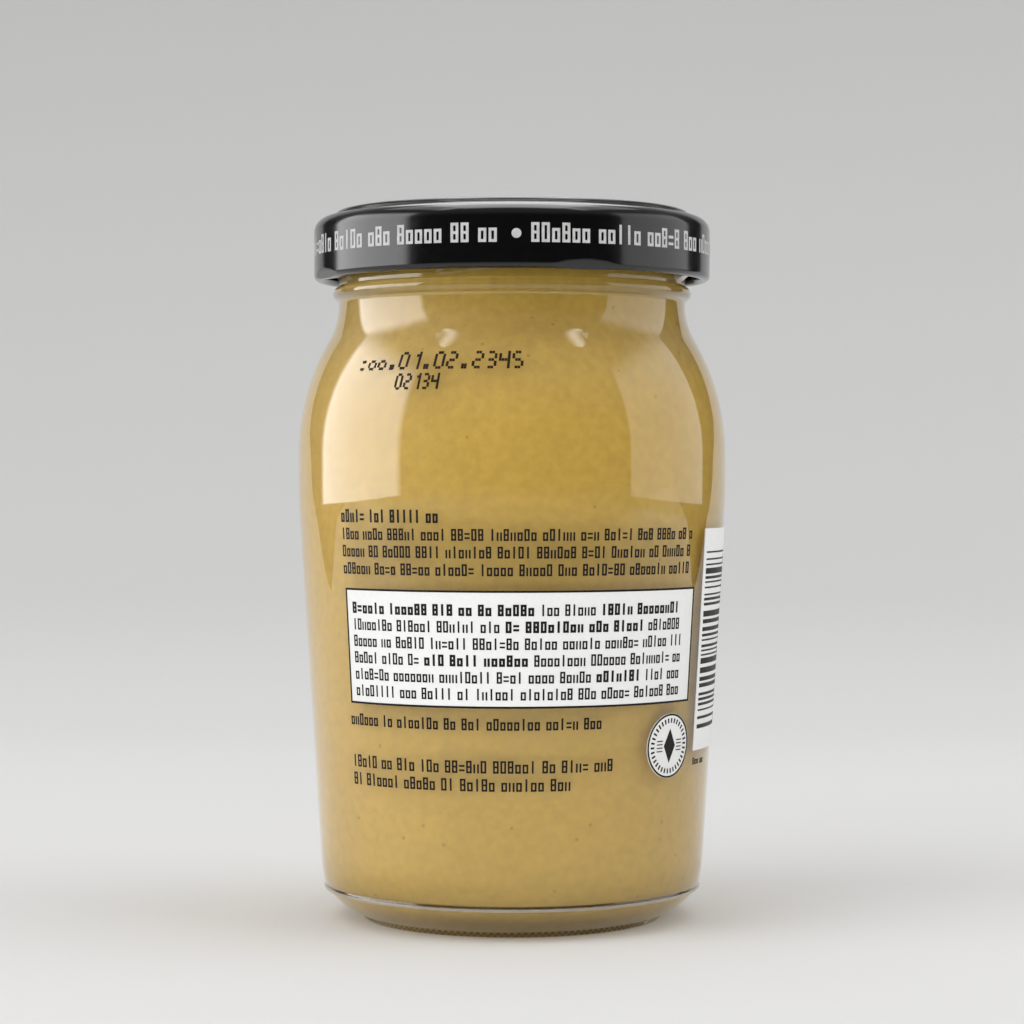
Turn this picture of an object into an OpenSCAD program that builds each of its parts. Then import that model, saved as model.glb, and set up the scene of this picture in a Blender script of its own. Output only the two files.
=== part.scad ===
// Closed glass jar of smooth mustard with a black lug cap.
// The jar stands on its bearing ring at z = 0, the axis is +Z and the front faces -Y.

/* [Glass] */
// Height of the glass, foot to rim
glass_h = 105.4; // [90:0.2:130]
// Largest outside diameter, at the belly
body_d = 65.1; // [54:0.1:80]
// Outside diameter of the neck
neck_d = 52.84; // [48:0.02:58]
// Thickness of the side wall
wall_t = 2.3; // [1.6:0.1:3.2]
// Height of the heel edge above the ground
heel_h = 4.7; // [3.5:0.1:7]
// Radius of the curve that sweeps from the heel edge in to the foot
heel_sweep_r = 11.4; // [9:0.1:20]
// Outside diameter of the bearing ring
foot_d = 45.4; // [38:0.2:48]
// Width of the flat face of the bearing ring
foot_face_w = 2; // [1:0.1:3]
// Height of the band round the bearing ring
foot_band_h = 0.8; // [0.4:0.1:1.2]
// How far the sweep stands out over the bearing ring
foot_band_w = 0.8; // [0.4:0.1:1.2]
// Depth of the hollow under the base
push_up_h = 1.5; // [0.8:0.1:2.5]
// Thickness of the base at its middle
base_t = 2.7; // [2.3:0.1:6]
// Radius between the floor and the wall inside
floor_fillet_r = 6; // [4:0.5:12]

/* [Belly and shoulder] */
// Outside diameter at the top of the rounded heel, where the taper starts
taper_d = 58.3; // [52:0.1:72]
// Height at which the taper starts
taper_h = 9.3; // [8:0.1:12]
// Radius that rounds the wall between the taper and the heel edge
heel_round_r = 25; // [16:1:60]
// Height at which the taper turns upright
belly_h = 66.5; // [50:0.5:70]
// Radius of the curve from the taper to the upright belly
belly_r = 100; // [60:5:150]
// Radius of the shoulder
shoulder_r = 33.5; // [28:0.5:45]
// Radius of the hollow curve from shoulder to neck
neck_fillet_r = 11; // [6:0.5:16]

/* [Neck finish] */
// Depth of the threaded finish, rim to the lower edge of the bead
finish_h = 11.95; // [11:0.05:16]
// Height of the bead under the thread
bead_h = 2.1; // [1.5:0.1:3.5]
// How far the bead stands out
bead_out = 0.9; // [0.5:0.1:1.4]
// How far the thread stands out
thread_out = 0.9; // [0.5:0.05:1]
// Thickness of a thread
thread_t = 1.3; // [0.8:0.1:1.6]
// Number of thread starts, and of lugs on the cap
starts = 4; // [3:1:6]
// Length of each thread round the neck, in degrees
thread_span = 62; // [30:1:70]
// Climb of a thread, in degrees
thread_pitch_a = 5; // [2:0.1:5.5]
// Height of the low end of a thread above the bead
thread_rise = 0.85; // [0.1:0.05:1]
// Turn of the first thread's low end from the front, in degrees
thread_turn = -23; // [-90:1:90]
// Rounding of the rim
rim_r = 0.8; // [0.4:0.1:1]

/* [Contents] */
// Gap between the mustard and the rim
headspace = 3; // [2:0.1:3.8]

/* [Cap] */
// Gap between the skirt and the thread
skirt_gap = 2.35; // [2:0.05:4]
// Thickness of the cap's sheet, lacquered
sheet_t = 0.45; // [0.3:0.05:0.8]
// Height from the lower edge of the cap to the rim of the glass
skirt_h = 8.9; // [8:0.1:9.5]
// Height of the rolled edge
curl_h = 1.7; // [1.2:0.1:2]
// Radius between the skirt and the top
cap_round_r = 2.2; // [1:0.1:2.5]
// Width of the sealing ring that lies on the rim
seal_w = 4; // [3:0.1:5]
// Depth of the lining of the sealing ring
seal_t = 0.7; // [0.5:0.05:1]
// Height of the raised ring on top
step_h = 0.9; // [0.5:0.1:1.2]
// Width of the raised ring
step_w = 3; // [2:0.1:4]
// Distance from the skirt in to the raised ring
step_in = 3.1; // [2.6:0.1:4]
// Height of the safety button in the middle
button_h = 0.35; // [0.2:0.05:0.5]
// Diameter of the safety button
button_d = 20; // [14:0.5:26]
// Width of each lug round the cap, in degrees
lug_span = 27; // [16:1:36]
// How far a lug reaches in from the rolled edge
lug_in = 1.3; // [1:0.1:1.4]
// Height of the dent over each lug
dent_h = 1.2; // [0.6:0.1:1.6]
// Turn of the first lug from the front, in degrees
lug_turn = 21; // [-45:1:45]

/* [Labels] */
// Thickness of the printed panels and of the sticker
label_t = 0.12; // [0.08:0.02:0.3]
// Lower edge of the panel
panel_low = 33.9; // [20:0.1:38]
// Height of the panel
panel_h = 16.8; // [10:0.1:18]
// Left edge of the panel, in degrees from the front
panel_from = -49.4; // [-60:0.1:-20]
// Width of the panel, in degrees
panel_span = 106.4; // [60:0.1:108]
// Lower edge of the sticker
sticker_low = 26.3; // [15:0.1:28]
// Height of the sticker
sticker_h = 32.9; // [20:0.1:33]
// Left edge of the sticker, in degrees from the front
sticker_from = 61.9; // [60:0.1:90]
// Width of the sticker, in degrees
sticker_span = 36; // [20:0.5:60]
// Diameter of the round seal
seal_mark_d = 9.5; // [6:0.1:11]
// Height of the middle of the round seal
seal_mark_h = 27.6; // [22:0.1:28]
// Turn of the round seal from the front, in degrees
seal_mark_turn = 49; // [30:0.5:55]

/* [Hidden] */
$fn = 96;

body_r = body_d / 2;
neck_r = neck_d / 2;
foot_r = foot_d / 2;
taper_r = taper_d / 2;
arc_n = 10;
front = -90;

// Shoulder and neck curve: two arcs that meet at one slope, end upright at both ends
// and take up the whole drop from belly to neck.
bead_low = glass_h - finish_h;
neck_low = bead_low - 0.5;
shoulder_a = acos(1 - (body_r - neck_r) / (shoulder_r + neck_fillet_r));
shoulder_h = neck_low - (shoulder_r + neck_fillet_r) * sin(shoulder_a);

// The taper touches the belly's curve: the point on the curve where it does.
belly_c = [body_r - belly_r, belly_h];
taper_v = [taper_r, taper_h] - belly_c;
taper_a = atan2(taper_v.y, taper_v.x) + acos(belly_r / norm(taper_v));
wall_n = [cos(taper_a), sin(taper_a)];

// The rounded heel carries the taper's slope down to the heel edge.
round_c = [taper_r, taper_h] - heel_round_r * wall_n;
round_end_a = asin((heel_h - round_c.y) / heel_round_r);

// The sweep from the heel edge to the foot's band passes through both.
heel_p = [round_c.x + heel_round_r * cos(round_end_a), heel_h];
foot_p = [foot_r + foot_band_w, foot_band_h];
sweep_v = heel_p - foot_p;
sweep_a = atan2(sweep_v.y, sweep_v.x);
sweep_half_a = asin(norm(sweep_v) / 2 / heel_sweep_r);

// Ring of the cap
thread_r = neck_r + thread_out;
skirt_r = thread_r + skirt_gap + sheet_t;
cap_low = glass_h - skirt_h;
seal_out_r = neck_r + 0.6;
cap_top = glass_h + seal_t + step_h;
ledge_z = cap_top - step_h;
panel_z = ledge_z + 0.25;
step_r = skirt_r - step_in;
step_round_r = min(0.8, step_h * 0.8);

function arc(c, r, a0, a1, n = arc_n) =
    [for (i = [0 : n]) let (a = a0 + (a1 - a0) * i / n) c + r * [cos(a), sin(a)]];

// A row of points without its two ends.
function inner_points(points) = [for (i = [1 : len(points) - 2]) points[i]];

// Side of the glass from the start of the taper up to the neck, moved in by w.
function side(w) = concat(
    [[taper_r, taper_h] - w * wall_n],
    arc(belly_c, belly_r - w, taper_a, 0, 6),
    arc([body_r - shoulder_r, shoulder_h], shoulder_r - w, 0, shoulder_a, 14),
    arc([neck_r + neck_fillet_r, neck_low], neck_fillet_r + w, 180 + shoulder_a, 180)
);

// Outside of the heel, from the foot's band up to just short of the taper.
sweep_c = foot_p + heel_sweep_r * [cos(sweep_a - sweep_half_a + 90), sin(sweep_a - sweep_half_a + 90)];
function heel() = concat(
    arc(sweep_c, heel_sweep_r, sweep_a - sweep_half_a - 90, sweep_a + sweep_half_a - 90),
    inner_points(arc(round_c, heel_round_r, round_end_a, taper_a, 6))
);

// Inside of the glass up to height z: a floor, a rounded corner and the side.
floor_z = push_up_h + base_t;
corner_p = [taper_r, taper_h] - wall_t * wall_n;
corner_x = corner_p.x - (corner_p.y - floor_z) * -wall_n.y / wall_n.x;
corner_t = floor_fillet_r * tan((90 + taper_a) / 2);
function cavity(z) = concat(
    [[0, floor_z]],
    arc([corner_x - corner_t, floor_z + floor_fillet_r], floor_fillet_r, -90, taper_a),
    side(wall_t),
    [[neck_r - wall_t, z], [0, z]]
);

// A band of label that lies on the taper, from height z0 to z1.
function taper_point(z, out) = [
    taper_r - (z - taper_h) * wall_n.y / wall_n.x + out * wall_n.x,
    z + out * wall_n.y
];
function label_band(z0, z1) = [
    taper_point(z0, 0), taper_point(z0, label_t), taper_point(z1, label_t), taper_point(z1, 0)
];

module turned(points) {
    rotate_extrude() polygon(points);
}

// Wraps a band round the front, starting at turn a0 and covering span degrees.
module wrapped(points, a0, span) {
    rotate([0, 0, front + a0])
        rotate_extrude(angle = span) polygon(points);
}

// One thread start: part of a ring, tilted about its own middle so that it climbs.
module thread_start(turn) {
    mid_z = bead_low + bead_h + thread_rise + thread_t / 2
        + neck_r * tan(thread_pitch_a) * sin(thread_span / 2);
    translate([0, 0, mid_z])
        rotate([0, 0, front + turn + thread_span / 2])
            rotate([thread_pitch_a, 0, 0])
                rotate([0, 0, -thread_span / 2])
                    rotate_extrude(angle = thread_span)
                        polygon([
                            [neck_r - thread_out, -thread_t * 0.8],
                            [thread_r, -thread_t * 0.2],
                            [thread_r, thread_t * 0.2],
                            [neck_r - thread_out, thread_t * 0.8]
                        ]);
}

module jar() {
    bead_half = bead_h / 2;
    bead_r = (bead_half * bead_half + bead_out * bead_out) / (2 * bead_out);
    bead_a = asin(bead_half / bead_r);
    push_up_r = foot_r - foot_face_w;
    outside = concat(
        [[0, push_up_h], [push_up_r - 3 * push_up_h, push_up_h], [push_up_r, 0]],
        [[foot_r, 0], [foot_r + foot_band_w / 2, foot_band_h]],
        heel(),
        side(0),
        arc([neck_r + bead_out - bead_r, bead_low + bead_half], bead_r, -bead_a, bead_a),
        arc([neck_r - rim_r, glass_h - rim_r], rim_r, 0, 90, 6),
        [[0, glass_h]]
    );
    color([0.86, 0.9, 0.88, 0.4]) difference() {
        union() {
            turned(outside);
            for (i = [0 : starts - 1])
                thread_start(thread_turn + i * 360 / starts);
        }
        turned(cavity(glass_h + 1));
    }
}

module mustard() {
    color("goldenrod") turned(cavity(glass_h - headspace));
}

module cap_lug(turn) {
    half_w = curl_h / 2;
    wrapped([
        [skirt_r - curl_h - lug_in, cap_low + half_w * 0.7],
        [skirt_r - half_w, cap_low + half_w * 0.3],
        [skirt_r - half_w, cap_low + half_w * 1.5],
        [skirt_r - curl_h - lug_in, cap_low + half_w * 1.2]
    ], turn - lug_span / 2, lug_span);
}

// The flat that pressing a lug in leaves across the lower edge of the skirt.
module cap_dent(turn) {
    reach = skirt_r * (1 - cos(lug_span / 2));
    size = 4 * curl_h;
    rotate([0, 0, front + turn])
        translate([skirt_r - reach, 0, cap_low])
            rotate([0, atan2(reach, dent_h), 0])
                translate([0, -skirt_r, -size])
                    cube([size, 2 * skirt_r, 3 * size]);
}

module cap() {
    half_w = curl_h / 2;
    in_r = skirt_r - sheet_t;
    round_in_r = cap_round_r - sheet_t;
    seal_low_z = glass_h;
    roof_z = ledge_z - sheet_t;
    profile = concat(
        arc([skirt_r - half_w, cap_low + half_w], half_w, 130, 360, 16),
        arc([skirt_r - cap_round_r, ledge_z - cap_round_r], cap_round_r, 0, 90),
        [[step_r, ledge_z]],
        arc([step_r - step_round_r, cap_top - step_round_r], step_round_r, 0, 90, 6),
        arc([step_r - step_w, cap_top - step_round_r], step_round_r, 90, 160, 6),
        [[step_r - step_w - 2 * step_round_r, panel_z]],
        [[button_d / 2 + 1, panel_z], [button_d / 2 - 1, panel_z + button_h]],
        [[0, panel_z + button_h], [0, panel_z - sheet_t]],
        [[seal_out_r - seal_w - 0.5, panel_z - sheet_t]],
        [[seal_out_r - seal_w, seal_low_z], [seal_out_r, seal_low_z], [seal_out_r + 0.3, roof_z]],
        arc([skirt_r - cap_round_r, ledge_z - cap_round_r], round_in_r, 90, 0)
    );
    color([0.06, 0.06, 0.06]) difference() {
        union() {
            turned(profile);
            for (i = [0 : starts - 1])
                cap_lug(lug_turn + i * 360 / starts);
        }
        for (i = [0 : starts - 1])
            cap_dent(lug_turn + i * 360 / starts);
    }
}

module facts_panel() {
    color("white") wrapped(label_band(panel_low, panel_low + panel_h), panel_from, panel_span);
}

module bar_sticker() {
    color("white")
        wrapped(label_band(sticker_low, sticker_low + sticker_h), sticker_from, sticker_span);
}

module round_mark() {
    reach = 2 * body_r;
    color("white") intersection() {
        wrapped(label_band(seal_mark_h - seal_mark_d, seal_mark_h + seal_mark_d),
            seal_mark_turn - 30, 60);
        rotate([0, 0, front + seal_mark_turn])
            translate([0, 0, seal_mark_h])
                rotate([0, 90, 0])
                    cylinder(d = seal_mark_d, h = reach);
    }
}

jar();
mustard();
cap();
facts_panel();
bar_sticker();
round_mark();
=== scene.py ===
"""Looks of the mustard jar: clear glass with its thread and knurled foot, mustard, black lug cap,
printed panel, round mark and bar sticker, on a pale studio floor."""
import math
import random

import bpy
import numpy as np
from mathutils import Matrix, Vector


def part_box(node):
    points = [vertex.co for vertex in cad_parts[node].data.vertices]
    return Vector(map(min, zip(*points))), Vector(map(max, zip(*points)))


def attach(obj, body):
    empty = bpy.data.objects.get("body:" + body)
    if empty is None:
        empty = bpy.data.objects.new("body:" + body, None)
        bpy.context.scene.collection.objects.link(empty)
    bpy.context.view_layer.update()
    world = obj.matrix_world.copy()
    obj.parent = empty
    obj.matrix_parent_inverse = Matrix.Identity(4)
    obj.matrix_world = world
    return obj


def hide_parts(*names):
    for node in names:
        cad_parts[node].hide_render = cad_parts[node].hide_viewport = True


MM = 0.001
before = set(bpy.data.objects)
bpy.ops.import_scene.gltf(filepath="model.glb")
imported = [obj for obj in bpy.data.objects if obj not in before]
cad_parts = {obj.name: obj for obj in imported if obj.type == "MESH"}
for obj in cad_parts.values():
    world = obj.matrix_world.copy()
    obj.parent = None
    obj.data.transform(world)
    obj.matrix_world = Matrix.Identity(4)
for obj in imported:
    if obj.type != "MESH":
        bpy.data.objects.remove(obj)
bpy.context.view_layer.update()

# ---------------------------------------------------------------- sizes, in mm
glass_box, cap_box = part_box("jar"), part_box("cap")
GLASS_H = glass_box[1].z / MM
BODY_R = 32.55
NECK_R = 26.42
WALL = 2.3
FOOT_R, FOOT_FACE, PUSH_UP, BASE = 22.7, 2.0, 1.5, 2.7
BAND_H, BAND_W = 0.8, 0.8
HEEL_H, HEEL_SWEEP = 4.7, 11.4
FLOOR_FILLET = 6.0
TAPER_R, TAPER_H, HEEL_ROUND = 29.15, 9.3, 25.0
BELLY_H, BELLY_CURVE = 66.5, 100.0
SHOULDER, NECK_FILLET = 33.5, 11.0
BEAD_LOW, BEAD_H, BEAD_OUT = GLASS_H - 11.95, 2.1, 0.9
THREAD_OUT, THREAD_T, THREAD_SPAN, THREAD_CLIMB = 0.9, 1.3, 62.0, math.radians(5)
THREAD_RISE, THREAD_TURN, STARTS = 0.85, -23.0, 4
RIM_R = 0.8
HEADSPACE = 3.0
SKIRT_R = 30.12
CAP_LOW, CAP_TOP = cap_box[0].z / MM, cap_box[1].z / MM
CURL, LUG_SPAN, LUG_IN, LUG_TURN, DENT = 1.7, 27.0, 1.3, 21.0, 1.2
LABEL_T = 0.12
INK_T, INK_SINK = 0.03, 0.01  # ink stands this far out of its surface and starts this far inside it
SEGMENTS = 720
KNURLS, KNURL_H = 144, 0.18
CREASE_HIGHLIGHT_HALF = 0.22  # half the height of the whitened line on the heel's crease, a painted highlight
SINK = 0.15  # how far the mustard reaches into the glass


# ---------------------------------------------------------------- outlines
def arc(centre, radius, start, end, steps):
    """Points on an arc, angles in degrees."""
    angles = np.radians(np.linspace(start, end, steps + 1))
    return [(centre[0] + radius * math.cos(a), centre[1] + radius * math.sin(a)) for a in angles]


def dense(points, step):
    """The same outline with no stretch longer than step."""
    out = [points[0]]
    for a, b in zip(points, points[1:]):
        n = max(1, math.ceil(math.dist(a, b) / step))
        out += [(a[0] + (b[0] - a[0]) * i / n, a[1] + (b[1] - a[1]) * i / n) for i in range(1, n + 1)]
    return out


def taper_angle():
    """Direction, in degrees, that the tapered wall faces: the wall touches the belly's curve."""
    dx, dz = TAPER_R - (BODY_R - BELLY_CURVE), TAPER_H - BELLY_H
    return math.degrees(math.atan2(dz, dx) + math.acos(BELLY_CURVE / math.hypot(dx, dz)))


TAPER_A = taper_angle()
FACING = (math.cos(math.radians(TAPER_A)), math.sin(math.radians(TAPER_A)))
NECK_LOW = BEAD_LOW - 0.5
SHOULDER_A = math.degrees(math.acos(1 - (BODY_R - NECK_R) / (SHOULDER + NECK_FILLET)))
SHOULDER_H = NECK_LOW - (SHOULDER + NECK_FILLET) * math.sin(math.radians(SHOULDER_A))


def side(inset):
    """The side of the glass from the start of the taper up to the neck, moved in by inset."""
    return (
        [(TAPER_R - inset * FACING[0], TAPER_H - inset * FACING[1])]
        + arc((BODY_R - BELLY_CURVE, BELLY_H), BELLY_CURVE - inset, TAPER_A, 0, 10)
        + arc((BODY_R - SHOULDER, SHOULDER_H), SHOULDER - inset, 0, SHOULDER_A, 28)
        + arc((NECK_R + NECK_FILLET, NECK_LOW), NECK_FILLET + inset, 180 + SHOULDER_A, 180, 16)[1:]
    )


def heel():
    """The outside of the heel, from the foot's edge up to just short of the taper."""
    round_c = (TAPER_R - HEEL_ROUND * FACING[0], TAPER_H - HEEL_ROUND * FACING[1])
    end = math.degrees(math.asin((HEEL_H - round_c[1]) / HEEL_ROUND))
    edge = (round_c[0] + HEEL_ROUND * math.cos(math.radians(end)), HEEL_H)
    start = (FOOT_R + BAND_W, BAND_H)
    slope = math.degrees(math.atan2(edge[1] - start[1], edge[0] - start[0]))
    half = math.degrees(math.asin(math.dist(edge, start) / 2 / HEEL_SWEEP))
    turn = math.radians(slope - half + 90)
    sweep_c = (start[0] + HEEL_SWEEP * math.cos(turn), start[1] + HEEL_SWEEP * math.sin(turn))
    seam = arc((edge[0] - 0.28, edge[1] + 0.08), 0.5, -62, 28, 14)
    return (
        arc(sweep_c, HEEL_SWEEP, slope - half - 90, slope + half - 91.5, 24)
        + seam
        + arc(round_c, HEEL_ROUND, end + 0.8, TAPER_A, 8)[:-1]
    )


def outside():
    """The outside of the glass, from the middle of the base to the rim."""
    half = BEAD_H / 2
    bead_r = (half * half + BEAD_OUT * BEAD_OUT) / (2 * BEAD_OUT)
    bead_a = math.degrees(math.asin(half / bead_r))
    inner_foot = FOOT_R - FOOT_FACE
    base = [(0, PUSH_UP), (inner_foot - 3 * PUSH_UP, PUSH_UP), (inner_foot - 0.3, 0.1), (inner_foot, 0)]
    band = [(FOOT_R, 0), (FOOT_R + BAND_W / 2, BAND_H), (FOOT_R + BAND_W, BAND_H)]
    bead = arc((NECK_R + BEAD_OUT - bead_r, BEAD_LOW + half), bead_r, -bead_a, bead_a, 18)
    return (
        dense(base, 2.0)[:-1]
        + dense([(inner_foot, 0), (FOOT_R, 0)], 0.5)[:-1]
        + dense(band, 0.15)[:-1]
        + heel()
        + dense(side(0), 3.0)
        + bead
        + dense([bead[-1], (NECK_R, GLASS_H - RIM_R)], 0.22)[1:]
        + arc((NECK_R - RIM_R, GLASS_H - RIM_R), RIM_R, 0, 90, 8)[1:]
    )


def inside(inset):
    """The inside of the glass from the middle of the floor up to the straight of the neck."""
    floor = PUSH_UP + BASE
    corner = (TAPER_R - WALL * FACING[0], TAPER_H - WALL * FACING[1])
    corner_x = corner[0] + (corner[1] - floor) * FACING[1] / FACING[0]
    reach = FLOOR_FILLET * math.tan(math.radians((90 + TAPER_A) / 2))
    centre = (corner_x - reach, floor + FLOOR_FILLET)
    edge = arc(centre, FLOOR_FILLET - inset + WALL, -90, TAPER_A, 20)
    return dense([(0, edge[0][1]), edge[0]], 3.0)[:-1] + edge + dense(side(inset), 3.0)[1:]


# ---------------------------------------------------------------- meshes
def add_mesh(name, verts, faces):
    """A smooth-shaded mesh object from points in mm."""
    mesh = bpy.data.meshes.new(name)
    mesh.from_pydata((np.asarray(verts) * MM).tolist(), [], faces)
    mesh.validate()
    mesh.update()
    mesh.polygons.foreach_set("use_smooth", [True] * len(mesh.polygons))
    obj = bpy.data.objects.new(name, mesh)
    bpy.context.scene.collection.objects.link(obj)
    return obj


def turned(name, outline, segments, shift=None):
    """Turns an outline that starts and ends on the axis. Turn 0 is the front, -Y, and turns grow
    towards +X. shift(turn, r, z) moves the points of the rings and returns new r and z."""
    rings = np.array(outline[1:-1], float)
    turn = np.linspace(0, 2 * math.pi, segments, endpoint=False)
    r = np.repeat(rings[:, :1], segments, 1)
    z = np.repeat(rings[:, 1:], segments, 1)
    if shift:
        r, z = shift(np.degrees(turn)[None, :], r, z)
    verts = np.stack([r * np.sin(turn), -r * np.cos(turn), z], 2).reshape(-1, 3)
    n, last = len(rings), len(verts)
    verts = np.vstack([verts, [0, 0, outline[0][1]], [0, 0, outline[-1][1]]])
    j = np.arange(segments)
    k = (j + 1) % segments
    faces = []
    for i in range(n - 1):
        a, b = i * segments, (i + 1) * segments
        faces += np.stack([a + j, a + k, b + k, b + j], 1).tolist()
    faces += [(last, int(y), int(x)) for x, y in zip(j, k)]
    top = (n - 1) * segments
    faces += [(last + 1, int(top + x), int(top + y)) for x, y in zip(j, k)]
    return add_mesh(name, verts, faces)


def bump(t):
    """A soft hill: 1 in the middle, 0 from t = 1 outwards."""
    return np.where(np.abs(t) < 1, 0.5 + 0.5 * np.cos(np.pi * np.clip(t, -1, 1)), 0.0)


def turn_gap(turn, centre):
    """Signed difference between two turns, -180 to 180."""
    return (turn - centre + 180) % 360 - 180


# ---------------------------------------------------------------- materials
def material(name, color, roughness, **sockets):
    """A Principled material with plain values; returns it with its tree and shader."""
    mat = bpy.data.materials.new(name)
    mat.use_nodes = True
    tree = mat.node_tree
    shader = tree.nodes["Principled BSDF"]
    shader.inputs["Base Color"].default_value = (*color, 1)
    shader.inputs["Roughness"].default_value = roughness
    for socket, value in sockets.items():
        shader.inputs[socket.replace("_", " ")].default_value = value
    return mat, tree, shader


def noise(tree, scale, detail=3.0, roughness=0.5):
    coords = tree.nodes.new("ShaderNodeTexCoord")
    node = tree.nodes.new("ShaderNodeTexNoise")
    node.inputs["Scale"].default_value = scale
    node.inputs["Detail"].default_value = detail
    node.inputs["Roughness"].default_value = roughness
    tree.links.new(coords.outputs["Object"], node.inputs["Vector"])
    return node


def add_bump(tree, shader, height, strength, distance):
    node = tree.nodes.new("ShaderNodeBump")
    node.inputs["Strength"].default_value = strength
    node.inputs["Distance"].default_value = distance
    tree.links.new(height, node.inputs["Height"])
    tree.links.new(node.outputs["Normal"], shader.inputs["Normal"])


def ramp(tree, value, stops):
    node = tree.nodes.new("ShaderNodeValToRGB")
    elements = node.color_ramp.elements
    for i, (pos, color) in enumerate(stops):
        element = elements[i] if i < 2 else elements.new(pos)
        element.position = pos
        element.color = (*color, 1)
    tree.links.new(value, node.inputs["Fac"])
    return node.outputs["Color"]


def math_node(tree, operation, a, b):
    node = tree.nodes.new("ShaderNodeMath")
    node.operation = operation
    tree.links.new(a, node.inputs[0])
    if isinstance(b, float):
        node.inputs[1].default_value = b
    else:
        tree.links.new(b, node.inputs[1])
    return node.outputs[0]


def mixed(tree, factor, a, b, blend="MIX"):
    """Mixes colour b over colour a. factor and b are a socket or a plain value."""
    node = tree.nodes.new("ShaderNodeMix")
    node.data_type = "RGBA"
    node.blend_type = blend
    if isinstance(factor, float):
        node.inputs[0].default_value = factor
    else:
        tree.links.new(factor, node.inputs[0])
    tree.links.new(a, node.inputs[6])
    if isinstance(b, tuple):
        node.inputs[7].default_value = (*b, 1)
    else:
        tree.links.new(b, node.inputs[7])
    return node.outputs[2]


def glass_material(name, roughness, clear):
    """Glass that lets the lamps' light through. Below clear = 1 it is whitened; the heel's crease uses
    that as a painted highlight.
    """
    mat, tree, shader = material(name, (1, 1, 1), roughness, Transmission_Weight=clear, IOR=1.5,
                                 Coat_Weight=0.65, Coat_Roughness=0.05)
    ripple = noise(tree, 45, 1.0)
    add_bump(tree, shader, ripple.outputs["Fac"], 0.03, 0.0006)
    path = tree.nodes.new("ShaderNodeLightPath")
    through = tree.nodes.new("ShaderNodeBsdfTransparent")
    mix = tree.nodes.new("ShaderNodeMixShader")
    tree.links.new(path.outputs["Is Shadow Ray"], mix.inputs[0])
    tree.links.new(shader.outputs[0], mix.inputs[1])
    tree.links.new(through.outputs[0], mix.inputs[2])
    tree.links.new(mix.outputs[0], tree.nodes["Material Output"].inputs["Surface"])
    return mat


def mustard_material():
    mat, tree, shader = material("mustard_paste", (0.62, 0.40, 0.12), 0.6)
    cloud = noise(tree, 60, 3.0)
    tone = ramp(tree, cloud.outputs["Fac"], [(0.3, (0.545, 0.358, 0.056)), (0.7, (0.585, 0.388, 0.065))])
    fine = noise(tree, 700, 4.0)
    shade = ramp(tree, fine.outputs["Fac"], [(0.3, (0.90, 0.89, 0.86)), (0.7, (1.04,) * 3)])
    cells = tree.nodes.new("ShaderNodeTexVoronoi")
    cells.inputs["Scale"].default_value = 330
    coords = tree.nodes.new("ShaderNodeTexCoord")
    tree.links.new(coords.outputs["Object"], cells.inputs["Vector"])
    split = tree.nodes.new("ShaderNodeSeparateColor")
    tree.links.new(cells.outputs["Color"], split.inputs[0])
    near = math_node(tree, "LESS_THAN", cells.outputs["Distance"], 0.085)
    few = math_node(tree, "GREATER_THAN", split.outputs[0], 0.6)
    speck = math_node(tree, "MULTIPLY", near, few)
    mottled = mixed(tree, 1.0, tone, shade, "MULTIPLY")
    speckled = mixed(tree, math_node(tree, "MULTIPLY", speck, 0.5), mottled, (0.30, 0.15, 0.02))
    tree.links.new(speckled, shader.inputs["Base Color"])
    return mat


def cap_material():
    mat, tree, shader = material(
        "black_lacquer", (0.0024, 0.0024, 0.0026), 0.17, Coat_Weight=0.3, Coat_Roughness=0.08)
    peel = noise(tree, 700, 2.0)
    add_bump(tree, shader, peel.outputs["Fac"], 0.04, 0.0001)
    tone = ramp(tree, peel.outputs["Fac"], [(0.3, (0.14,) * 3), (0.7, (0.19,) * 3)])
    tree.links.new(tone, shader.inputs["Roughness"])
    return mat


def ink_material(name, color):
    """Flat ink whose tone and gloss vary a little."""
    mat, tree, shader = material(name, color, 0.45, Specular_IOR_Level=0.15)
    patches = noise(tree, 900, 2.0)
    dark = tuple(0.8 * c for c in color)
    tone = ramp(tree, patches.outputs["Fac"], [(0.3, dark), (0.7, color)])
    tree.links.new(tone, shader.inputs["Base Color"])
    gloss = ramp(tree, patches.outputs["Fac"], [(0.2, (0.38,) * 3), (0.8, (0.52,) * 3)])
    tree.links.new(gloss, shader.inputs["Roughness"])
    return mat


def paper_material(name, color):
    """White coated stock with a fine grain."""
    mat, tree, shader = material(name, color, 0.5)
    grain = noise(tree, 1500, 3.0)
    soft = tuple(0.96 * c for c in color)
    tone = ramp(tree, grain.outputs["Fac"], [(0.3, soft), (0.7, color)])
    tree.links.new(tone, shader.inputs["Base Color"])
    add_bump(tree, shader, grain.outputs["Fac"], 0.1, 0.00005)
    return mat


def dress(obj, mat):
    obj.data.materials.clear()
    obj.data.materials.append(mat)


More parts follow.
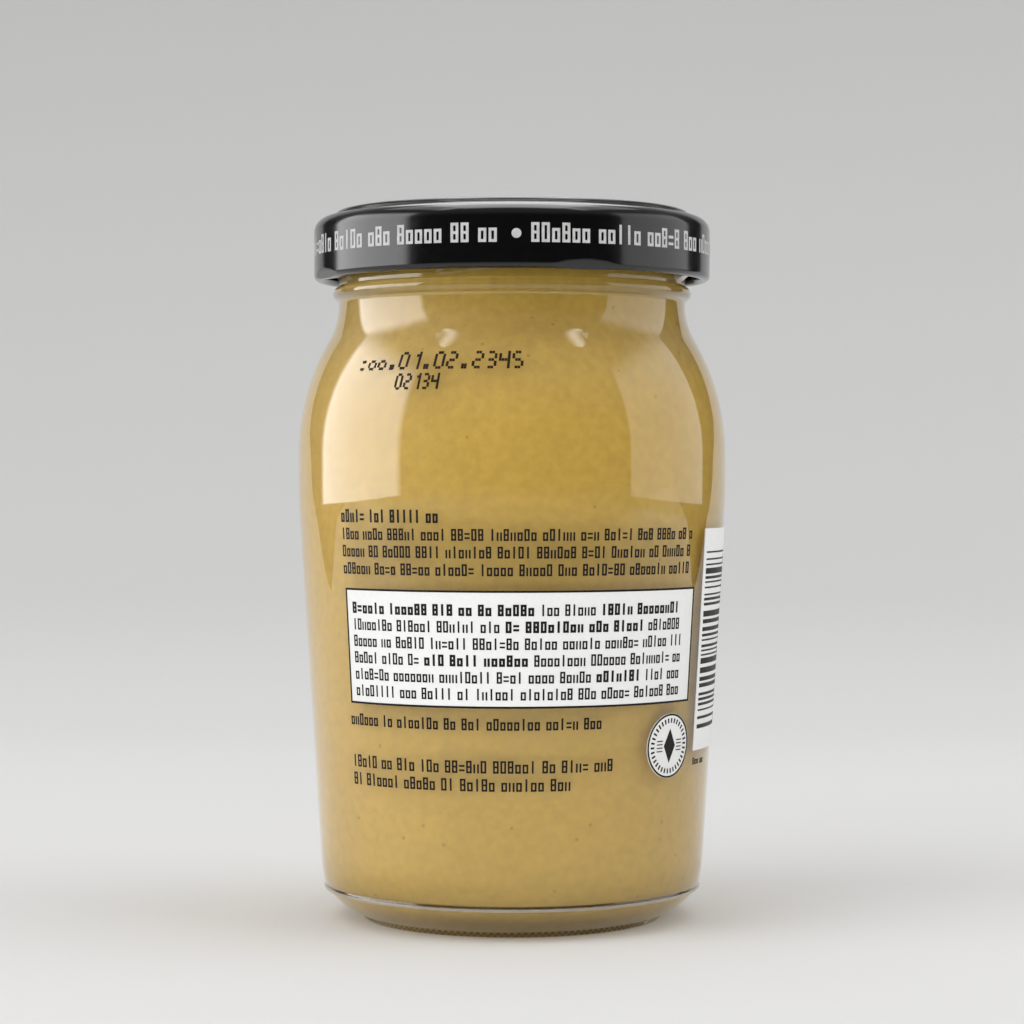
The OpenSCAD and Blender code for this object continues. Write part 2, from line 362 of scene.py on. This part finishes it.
# ---------------------------------------------------------------- the glass
def glass_shift(turn, r, z):
    """Raises the thread on the finish and the knurls on the foot's edge."""
    out = np.zeros_like(r + 0 * turn)
    bead_top = BEAD_LOW + BEAD_H
    finish = (z > bead_top) & (r > NECK_R - 0.5)
    mid = bead_top + THREAD_RISE + THREAD_T / 2
    for i in range(STARTS):
        along = turn_gap(turn, THREAD_TURN + i * 90)
        middle = mid + NECK_R * np.radians(along) * math.tan(THREAD_CLIMB)
        ends = np.clip(np.minimum(along + 1, THREAD_SPAN - along) / 3, 0, 1)
        across = np.clip(1.25 - np.abs(z - middle) / (THREAD_T * 0.62), 0, 1)
        out = np.maximum(out, THREAD_OUT * ends * across * across * (3 - 2 * across))
    foot = (z < BAND_H) & (r > FOOT_R - 0.2) & (r < FOOT_R + BAND_W)
    knurl = KNURL_H * np.cos(np.radians(turn) * KNURLS) * bump(z / (BAND_H / 2) - 1)
    return r + np.where(finish, out, 0) + np.where(foot, knurl, 0), z


def build_glass():
    inner = inside(WALL)
    rim = [(NECK_R - WALL + 0.3, GLASS_H), (NECK_R - WALL, GLASS_H - 0.5), (NECK_R - WALL, GLASS_H - 4)]
    outline = outside() + rim + inner[::-1]
    glass = turned("glass_jar", outline, SEGMENTS, glass_shift)
    dress(glass, glass_material("clear_glass", 0.0, 1.0))
    glass.data.materials.append(glass_material("crease_highlight_glass", 0.3, 0.82))
    # painted highlight: faces on the heel's crease get the whitened glass, standing in for the bright
    # line the crease catches
    for face in glass.data.polygons:
        middle = face.center / MM
        on_crease = abs(middle.z - HEEL_H - 0.05) < CREASE_HIGHLIGHT_HALF
        if on_crease and middle.xy.length > FOOT_R + 5:
            face.material_index = 1
    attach(glass, "root")
    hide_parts("jar")


def build_mustard():
    level = GLASS_H - HEADSPACE
    inner = inside(WALL - SINK)
    outline = inner + [(NECK_R - WALL + SINK, level), (NECK_R - WALL - 2, level - 0.2), (0, level - 0.2)]
    fill = turned("mustard_fill", outline, 288)
    dress(fill, mustard_material())
    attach(fill, "root")
    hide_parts("mustard")


# ---------------------------------------------------------------- the cap
def cap_shift(turn, r, z):
    """Presses the lugs into the rolled edge, which leaves a dent on the outside of each."""
    reach = SKIRT_R * (1 - math.cos(math.radians(LUG_SPAN / 2)))
    r = r + 0 * turn
    z = z + 0 * turn
    for i in range(STARTS):
        gap = turn_gap(turn, LUG_TURN + i * 90)
        press = bump(gap / (LUG_SPAN / 2))
        low = np.clip((CAP_LOW + CURL - z) / (CURL * 0.6), 0, 1)
        inner = (r < SKIRT_R - CURL / 2) & (z < CAP_LOW + CURL * 1.02)
        r = np.where(inner, r - LUG_IN * press * low, r)
        flat = (SKIRT_R - reach + (z - CAP_LOW) * reach / DENT) / np.cos(np.radians(gap))
        outer = (r > SKIRT_R - CURL / 2) & (np.abs(gap) < 40)
        r = np.where(outer, np.minimum(r, np.maximum(flat, SKIRT_R - CURL / 2)), r)
    return r, z


def cap_outline():
    """The cap's thin sheet, from the middle of its underside round the curl to the button on top."""
    half, sheet, corner, crease = CURL / 2, 0.25, 2.2, 0.4
    step_h, step_r, step_w, step_round = 0.9, SKIRT_R - 3.1, 3.0, 0.72
    button = [(11.2, 0), (10.4, 0.08), (9.2, 0.3), (8, 0.35), (0, 0.35)]  # radius and rise
    seal_in, seal_out, seal = 23.9, 27, GLASS_H + 0.02
    ledge = CAP_TOP - step_h
    panel = ledge + 0.25
    curl = arc((SKIRT_R - half, CAP_LOW + half), half, 130, 360, 40)
    corner_c = (SKIRT_R - corner, ledge - corner)
    outer = (
        dense([curl[-1], (SKIRT_R, ledge - corner)], 0.25)[1:]
        + arc(corner_c, corner, 0, 90, 16)[1:]
        + arc((step_r + crease, ledge + crease), crease, -90, -180, 6)
        + arc((step_r - step_round, CAP_TOP - step_round), step_round, 0, 90, 10)
        + arc((step_r - step_w, CAP_TOP - step_round), step_round, 90, 160, 8)
        + [(step_r - step_w - 1.4, panel)]
        + [(r, panel + rise) for r, rise in button]
    )
    inner = (
        [(0, panel - sheet), (seal_in - 0.5, panel - sheet), (seal_in, seal), (seal_out, seal)]
        + [(seal_out + 0.3, ledge - sheet)]
        + arc(corner_c, corner - sheet, 90, 0, 10)
        + [(SKIRT_R - sheet, CAP_LOW + CURL + 0.6)]
    )
    return inner + curl + outer


def build_cap():
    cap = turned("lug_cap", cap_outline(), 384, cap_shift)
    dress(cap, cap_material())
    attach(cap, "root")
    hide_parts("cap")


# ---------------------------------------------------------------- labels and print
PROFILE = sorted((z, r) for r, z in dense(side(0), 0.5))
PROFILE_Z = [z for z, r in PROFILE]
PROFILE_R = [r for z, r in PROFILE]


def glass_radius(z):
    return np.interp(z, PROFILE_Z, PROFILE_R)


def skirt_radius(z):
    return np.full_like(np.asarray(z, float), SKIRT_R)


def placed(turn, z, radius, lift):
    """Points at a turn and height on a round surface, lifted off it."""
    angle = np.radians(turn)
    r = radius(z) + lift
    return np.stack([r * np.sin(angle), -r * np.cos(angle), z + 0 * r], -1)


def sheet(name, turn, z, low, high):
    """A thin closed field on the glass from a grid of turns and heights."""
    rows, cols = turn.shape
    top = placed(turn, z, glass_radius, high).reshape(-1, 3)
    under = placed(turn, z, glass_radius, low).reshape(-1, 3)
    index = np.arange(rows * cols).reshape(rows, cols)
    quads = np.stack([index[:-1, :-1], index[:-1, 1:], index[1:, 1:], index[1:, :-1]], -1).reshape(-1, 4)
    faces = quads.tolist() + (quads[:, ::-1] + rows * cols).tolist()
    rim = np.concatenate([index[0, :-1], index[:-1, -1], index[-1, :0:-1], index[:0:-1, 0]])
    ahead = np.roll(rim, -1)
    faces += np.stack([rim, rim + rows * cols, ahead + rows * cols, ahead], 1).tolist()
    obj = add_mesh(name, np.vstack([top, under]), faces)
    obj.data.polygons.foreach_set("use_smooth", [False] * len(obj.data.polygons))
    return obj


def prisms(name, cells, radius, lift):
    """Many small flat pieces of ink in one mesh. Each cell is a ring of (turn, z) corners."""
    verts, faces = [], []
    for cell in cells:
        turn, z = np.array(cell, float).T
        n, first = len(cell), len(verts)
        verts += placed(turn, z, radius, lift + INK_T).tolist()
        verts += placed(turn, z, radius, lift - INK_SINK).tolist()
        faces.append([first + i for i in range(n)])
        faces.append([first + n + i for i in reversed(range(n))])
        for i in range(n):
            j = (i + 1) % n
            faces.append([first + i, first + n + i, first + n + j, first + j])
    obj = add_mesh(name, verts, faces)
    obj.data.polygons.foreach_set("use_smooth", [False] * len(obj.data.polygons))
    return obj


def box_cell(turn, z, r, x0, y0, x1, y1):
    """A rectangle in mm from a point on the surface, as (turn, z) corners."""
    a, b = turn + math.degrees(x0 / r), turn + math.degrees(x1 / r)
    return [(a, z + y0), (b, z + y0), (b, z + y1), (a, z + y1)]


def frame_strokes(w, h, s):
    return [(0, 0, s, h), (w - s, 0, w, h), (s, 0, w - s, s), (s, h - s, w - s, h)]


def glyph(kind, w, h, s):
    """Strokes of one greeked cell: only frames, bars and rungs, so it reads as nothing."""
    low = 0.72 * h
    if kind == "frame":
        return frame_strokes(w, h, s)
    if kind == "low":
        return frame_strokes(w, low, s)
    if kind == "split":
        return frame_strokes(w, h, s) + [(s, (h - s) / 2, w - s, (h + s) / 2)]
    if kind == "bar":
        return [(w / 2 - s / 2, 0, w / 2 + s / 2, h)]
    if kind == "twin":
        return [(0, 0, s, low), (w - s, 0, w, low)]
    return [(0, 0.15 * h, w, 0.15 * h + s), (0, 0.5 * h, w, 0.5 * h + s)]


KINDS = ["low"] * 9 + ["frame"] * 3 + ["split"] * 2 + ["bar"] * 4 + ["twin"] * 2 + ["rungs"]


def text_line(rng, radius, start, end, z_mid, height, pitch, stroke, bold=()):
    """A line of greeked words from one turn to another. bold holds the (from, to) shares in bold."""
    z = z_mid - height / 2
    r = float(radius(z_mid))
    length = math.radians(end - start) * r
    cells, x = [], 0.0
    while x < length - pitch:
        count = min(rng.choice([2, 3, 4, 5, 5, 6, 7, 8]), int((length - x) / pitch))
        heavy = any(low <= x / length < high for low, high in bold)
        s, w = (stroke * 1.35, pitch * 1.12) if heavy else (stroke, pitch)
        for i in range(max(count, 1)):
            kind = "split" if i == 0 and rng.random() < 0.4 else rng.choice(KINDS)
            for x0, y0, x1, y1 in glyph(kind, w * 0.78, height, s):
                cells.append(box_cell(start, z, r, x + x0, y0, x + x1, y1))
            x += w
        x += pitch * 0.7
    return cells


def outline_cells(t0, t1, z0, z1, width, step):
    """A thin border round a field, in short pieces."""
    r = float(glass_radius((z0 + z1) / 2))
    edge = math.degrees(width / r)
    turns = np.linspace(t0, t1, max(2, math.ceil((t1 - t0) / step) + 1))
    cells = []
    for a, b in zip(turns, turns[1:]):
        for low in (z0, z1 - width):
            cells.append([(a, low), (b, low), (b, low + width), (a, low + width)])
    for a in (t0, t1 - edge):
        cells.append([(a, z0 + width), (a + edge, z0 + width), (a + edge, z1 - width), (a, z1 - width)])
    return cells


def ring_cells(turn, z, r_in, r_out, count, share=1.0):
    """A ring of short pieces round a point; a share below 1 leaves gaps, which makes ticks."""
    r = float(glass_radius(z))
    cells = []
    for i in range(count):
        a0, a1 = (2 * math.pi * (i + d) / count for d in (0, share))
        ring = [(r_in, a0), (r_out, a0), (r_out, a1), (r_in, a1)]
        cells.append([(turn + math.degrees(q * math.cos(a) / r), z + q * math.sin(a)) for q, a in ring])
    return cells


STROKE_DOTS = {
    "a": [(1, 6), (2, 6)], "b": [(3, 5), (3, 4)], "c": [(3, 2), (3, 1)], "d": [(1, 0), (2, 0)],
    "e": [(0, 2), (0, 1)], "f": [(0, 5), (0, 4)], "g": [(1, 3), (2, 3)],
    "h": [(0, 3)], "i": [(3, 3)], "j": [(3, 0)], "k": [(3, 6)], "l": [(2, 5)], "m": [(1, 1), (2, 1)],
}
DIGITS = {
    "0": "abcdefhi", "1": "bcjikl", "2": "abged", "3": "abgcd", "4": "fgbcjihk", "5": "afgcd",
    ".": "dm", "=": "dg", "o": "cdeg",
}


def dot_line(text, start, z, pitch, dot_w, dot_h):
    """Plain leaning digits of small dots, like an ink-jet date."""
    lean, fat = 0.08, 1.1
    cells = []
    r = float(glass_radius(z))
    for i, mark in enumerate(text):
        for col, row in [dot for part in DIGITS[mark] for dot in STROKE_DOTS[part]]:
            x, y, size = i * pitch + (col + lean * row) * dot_w, row * dot_h, dot_h * fat
            cells.append(box_cell(start, z, r, x, y, x + size, y + size))
    return cells


# first and last turn in degrees, lower and upper edge
PANEL = (-49.4, 57.0, 33.9, 50.7)
STICKER = (61.9, 97.9, 26.3, 59.2)
MARK_TURN, MARK_Z, MARK_R = 49.0, 27.6, 4.75


def field(name, t0, t1, z0, z1):
    """A four-sided label that lies on the glass."""
    turn, z = np.meshgrid(np.linspace(t0, t1, math.ceil((t1 - t0) / 0.5) + 1), np.linspace(z0, z1, 5))
    return sheet(name, turn, z, 0, LABEL_T)


def dressed(piece, mat, node=None):
    """Gives a piece its material, hangs it on the root body and hides the CAD node that it stands for.
    """
    dress(piece, mat)
    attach(piece, "root")
    if node:
        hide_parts(node)


def build_labels():
    """Builds the three white fields and returns the cells of their print."""
    rng = random.Random(7)
    white = paper_material("panel_white", (0.80, 0.80, 0.78))
    dressed(field("panel_field", *PANEL), white, "facts_panel")
    dressed(field("paper_sticker", *STICKER), paper_material("sticker_white", (0.84, 0.84, 0.83)),
            "bar_sticker")

    u, v = np.meshgrid(np.linspace(-1, 1, 33), np.linspace(-1, 1, 33))
    x, y = u * np.sqrt(1 - v * v / 2) * MARK_R, v * np.sqrt(1 - u * u / 2) * MARK_R
    turn = MARK_TURN + np.degrees(x / float(glass_radius(MARK_Z)))
    dressed(sheet("mark_disc", turn, MARK_Z + y, 0, LABEL_T), white, "round_mark")

    cells = outline_cells(*PANEL, 0.3, 1.0)
    lines = [  # height of the middle, shares in bold
        (47.9, [(0, 0.5), (0.7, 0.9)]), (45.5, [(0.4, 0.82)]), (43.1, []),
        (40.7, [(0.2, 0.42)]), (38.3, [(0.66, 0.8)]), (35.9, []),
    ]
    for z, bold in lines:
        cells += text_line(rng, glass_radius, -46.8, 53, z, 1.65, 0.96, 0.25, bold)
    cells += ring_cells(MARK_TURN, MARK_Z, MARK_R - 0.32, MARK_R - 0.05, 72)
    cells += ring_cells(MARK_TURN, MARK_Z, 3.35, 4.05, 34, 0.4)
    r = float(glass_radius(MARK_Z))
    half = math.degrees(1.3 / r)
    cells.append([(MARK_TURN - half, MARK_Z), (MARK_TURN, MARK_Z - 2.5), (MARK_TURN + half, MARK_Z),
                  (MARK_TURN, MARK_Z + 2.5)])
    for x in (-2.8, 1.6):
        cells += [box_cell(MARK_TURN, MARK_Z - 0.8, r, x, y, x + 1.2, y + 0.16)
                  for y in (0, 0.5, 1, 1.5)]
    left, _, low, top = STICKER
    turns = np.linspace(left + 1.6, left + 22, 12)
    z = low + 3.2
    while z < top - 3.4:
        thick = rng.choice([0.25, 0.25, 0.4, 0.6, 0.85])
        cells += [[(a, z), (b, z), (b, z + thick), (a, z + thick)] for a, b in zip(turns, turns[1:])]
        z += thick + rng.choice([0.35, 0.4, 0.55, 0.8])
    for i in range(13):
        cells += [box_cell(left + 25, low + 3.6 + 2 * i, r, *stroke)
                  for stroke in frame_strokes(1.9, 1.2, 0.24)]
    return cells


def build_print():
    """Builds all print: on the labels, on the glass, the dotted code and the band round the cap."""
    black = ink_material("print_black", (0.012, 0.010, 0.009))
    dressed(prisms("label_print", build_labels(), glass_radius, LABEL_T), black)

    rng = random.Random(3)
    lines = [  # first and last turn, height of the middle, letter height, pitch, stroke
        (-50, -18.3, 61.2, 1.9, 1.04, 0.33),
        (-50, 56, 58.6, 1.7, 0.98, 0.27),
        (-50, 56, 56.1, 1.7, 0.98, 0.27),
        (-50, 56, 53.6, 1.7, 0.98, 0.27),
        (-50, 27, 31.6, 1.7, 0.98, 0.27),
        (-50, 30, 25.5, 1.8, 1.05, 0.27),
        (-50, 18, 22.9, 1.8, 1.05, 0.27),
        (62.5, 72, 24.7, 1.0, 0.8, 0.16),
    ]
    cells = [cell for line in lines for cell in text_line(rng, glass_radius, *line)]
    dressed(prisms("glass_print", cells, glass_radius, 0), black)

    dots = dot_line("=oo.01.02.2345", -47.4, 82.2, 1.93, 0.42, 0.36)
    dots += dot_line("02134", -32.8, 79.3, 1.48, 0.3, 0.33)
    brown = ink_material("print_brown", (0.02, 0.012, 0.006))
    dressed(prisms("date_dots", dots, glass_radius, 0), brown)

    rng = random.Random(11)
    cells = []
    for a in (-178.5, -88.5, 1.5, 91.5):
        cells += text_line(rng, skirt_radius, a + 3.7, a + 86.4, 101.55, 2.8, 1.5, 0.4)
        cells += bullet(a - 0.3, 101.4, 0.7)
    white = ink_material("print_white", (0.62, 0.62, 0.62))
    dressed(prisms("skirt_print", cells, skirt_radius, 0), white)


def bullet(turn, z, size):
    """A round dot on the cap's skirt."""
    ring = [2 * math.pi * i / 20 for i in range(20)]
    return [[(turn + math.degrees(size * math.cos(a) / SKIRT_R), z + size * math.sin(a)) for a in ring]]


# ---------------------------------------------------------------- studio
def build_floor():
    """A seamless floor that curves up behind the jar. Its colour is darker high up and far in front:
    painted shade that stands in for the studio light falling off.
    """
    floor_front, floor_back, bend, high = -2.5, 0.18, 0.45, 2.6
    wide, upright = 3.0, 0.45
    rows = [(floor_front, 0.0), (floor_back, 0.0)]
    rows += [(floor_back + bend * math.sin(a), bend - bend * math.cos(a))
             for a in np.linspace(0.05, math.pi / 2, 24)]
    rows.append((floor_back + bend, high))
    verts = [(x / MM, y / MM, z / MM) for y, z in rows
             for x in ((-wide, wide) if z == 0 else (-upright, upright))]
    faces = [(2 * i, 2 * i + 1, 2 * i + 3, 2 * i + 2) for i in range(len(rows) - 1)]
    floor = add_mesh("studio_floor", verts, faces)
    mat, tree, shader = material("studio_paper", (0.7, 0.7, 0.7), 0.75, Specular_IOR_Level=0.0)
    split = tree.nodes.new("ShaderNodeSeparateXYZ")
    coords = tree.nodes.new("ShaderNodeTexCoord")
    tree.links.new(coords.outputs["Object"], split.inputs[0])
    rise = math_node(tree, "MULTIPLY", split.outputs["Z"], 4.0)
    # painted shade: the backdrop's colour darkens with height, where its light falls off
    stops = [(0, 0.79), (0.02, 0.735), (0.13, 0.64), (0.4, 0.61), (1.0, 0.55)]
    tone = ramp(tree, rise, [(at, (v, v, v * 0.995)) for at, v in stops])
    # painted shade: the floor's colour darkens towards the camera, standing in for light that falls off
    # in front
    front = tree.nodes.new("ShaderNodeMapRange")
    for socket, value in (("From Min", -0.34), ("From Max", -0.16), ("To Min", 0.5), ("To Max", 1.0)):
        front.inputs[socket].default_value = value
    tree.links.new(split.outputs["Y"], front.inputs["Value"])
    shaded = tree.nodes.new("ShaderNodeVectorMath")
    shaded.operation = "SCALE"
    tree.links.new(tone, shaded.inputs[0])
    tree.links.new(front.outputs[0], shaded.inputs["Scale"])
    tree.links.new(shaded.outputs[0], shader.inputs["Base Color"])
    grain = noise(tree, 300, 2.0)
    add_bump(tree, shader, grain.outputs["Fac"], 0.05, 0.0003)
    dress(floor, mat)


def area_light(name, place, target, width, height, radiance):
    """A rectangular soft box at place that faces target. radiance is how bright its face looks."""
    light = bpy.data.lights.new(name, "AREA")
    light.shape = "RECTANGLE"
    light.size, light.size_y = width, height
    light.energy = radiance * math.pi * width * height
    obj = bpy.data.objects.new(name, light)
    bpy.context.scene.collection.objects.link(obj)
    obj.location = place
    obj.rotation_euler = (Vector(target) - Vector(place)).to_track_quat("-Z", "Y").to_euler()
    return obj


def soften(box, edge, top):
    """Fades the light of a box over a share of its width at both sides and of its height on top."""
    box.data.use_nodes = True
    tree = box.data.node_tree
    place = tree.nodes.new("ShaderNodeNewGeometry")
    split = tree.nodes.new("ShaderNodeSeparateXYZ")
    tree.links.new(place.outputs["Parametric"], split.inputs[0])
    fades = []
    across = math_node(tree, "PINGPONG", split.outputs["X"], 0.5)
    for value, dark, full in ((across, 0.0, edge), (split.outputs["Y"], 1.0, 1.0 - top)):
        fade = tree.nodes.new("ShaderNodeMapRange")
        fade.interpolation_type = "SMOOTHSTEP"
        fade.inputs["From Min"].default_value = dark
        fade.inputs["From Max"].default_value = full
        tree.links.new(value, fade.inputs["Value"])
        fades.append(fade.outputs[0])
    tree.links.new(math_node(tree, "MULTIPLY", *fades), tree.nodes["Emission"].inputs["Strength"])


def build_lights():
    """Soft boxes for the reflections, fills that only light, and two small spots."""
    left = area_light("left_box", (-0.75, 0.0, 0.4), (0, 0.0, 0.4), 0.92, 0.75, 3.25)
    right = area_light("right_box", (0.75, 0.04, 0.4), (0, 0.04, 0.4), 0.83, 0.75, 1.1)
    soften(left, 0.09, 0.35)
    soften(right, 0.03, 0.35)
    area_light("top_box", (0, 0.1, 1.25), (0, 0.1, 0), 1.6, 1.0, 1.3)
    lid = area_light("lid_box", (0, 0, 1.2), (0, 0, 0), 0.85, 1.0, 2.8)
    back = area_light("back_box", (0, 0.5, 0.68), (0, 0, 0.1), 0.4, 0.7, 3.0)
    for gloss in (left, lid, back):
        gloss.visible_diffuse = False
    left_fill = area_light("left_fill", (-0.68, -0.38, 0.5), (0, 0, 0.05), 0.8, 1.0, 1.65)
    right_fill = area_light("right_fill", (0.75, -0.15, 0.6), (0, 0, 0.05), 0.8, 0.8, 0.75)
    high_fill = area_light("high_fill", (0, -1.0, 0.85), (0, 0, 0.02), 1.3, 0.8, 0.36)
    low_fill = area_light("low_fill", (-0.45, -1.0, 0.2), (0, 0, 0.08), 0.8, 0.36, 1.3)
    card = area_light("floor_card", (0, -0.11, 0.002), (0, -0.11, 1), 0.4, 0.11, 1.35)
    card.visible_camera = False
    for fill in (left_fill, right_fill, high_fill, low_fill, card):
        fill.visible_glossy = False
    middle, rise = 0.055, math.radians(58)
    for name, turn in (("left_spot", math.radians(-54)), ("right_spot", math.radians(54))):
        place = (math.cos(rise) * math.sin(turn), -math.cos(rise) * math.cos(turn),
                 middle + math.sin(rise))
        spot = area_light(name, place, (0, 0, middle), 0.18, 0.26, 2.7)
        spot.data.shape = "ELLIPSE"
        soften(spot, 0.5, 0.3)
    world = bpy.data.worlds.new("studio")
    bpy.context.scene.world = world
    world.use_nodes = True
    tree = world.node_tree
    coords = tree.nodes.new("ShaderNodeTexCoord")
    split = tree.nodes.new("ShaderNodeSeparateXYZ")
    tree.links.new(coords.outputs["Generated"], split.inputs[0])
    glow = ramp(tree, split.outputs["Z"], [(0.25, (0.03,) * 3), (0.6, (0.25,) * 3)])
    tree.links.new(glow, tree.nodes["Background"].inputs["Color"])


def build_camera():
    camera = bpy.data.cameras.new("camera")
    camera.lens = 97.0
    camera.sensor_width = 36.0
    camera.clip_start = 0.01
    obj = bpy.data.objects.new("camera", camera)
    bpy.context.scene.collection.objects.link(obj)
    obj.location = (0, -0.4219, 0.067)
    obj.rotation_euler = (math.radians(90 - 0.757), 0, 0)
    bpy.context.scene.camera = obj
    bpy.context.scene.view_settings.view_transform = "Standard"


build_camera()
build_lights()
build_floor()
build_glass()
build_mustard()
build_cap()
build_print()
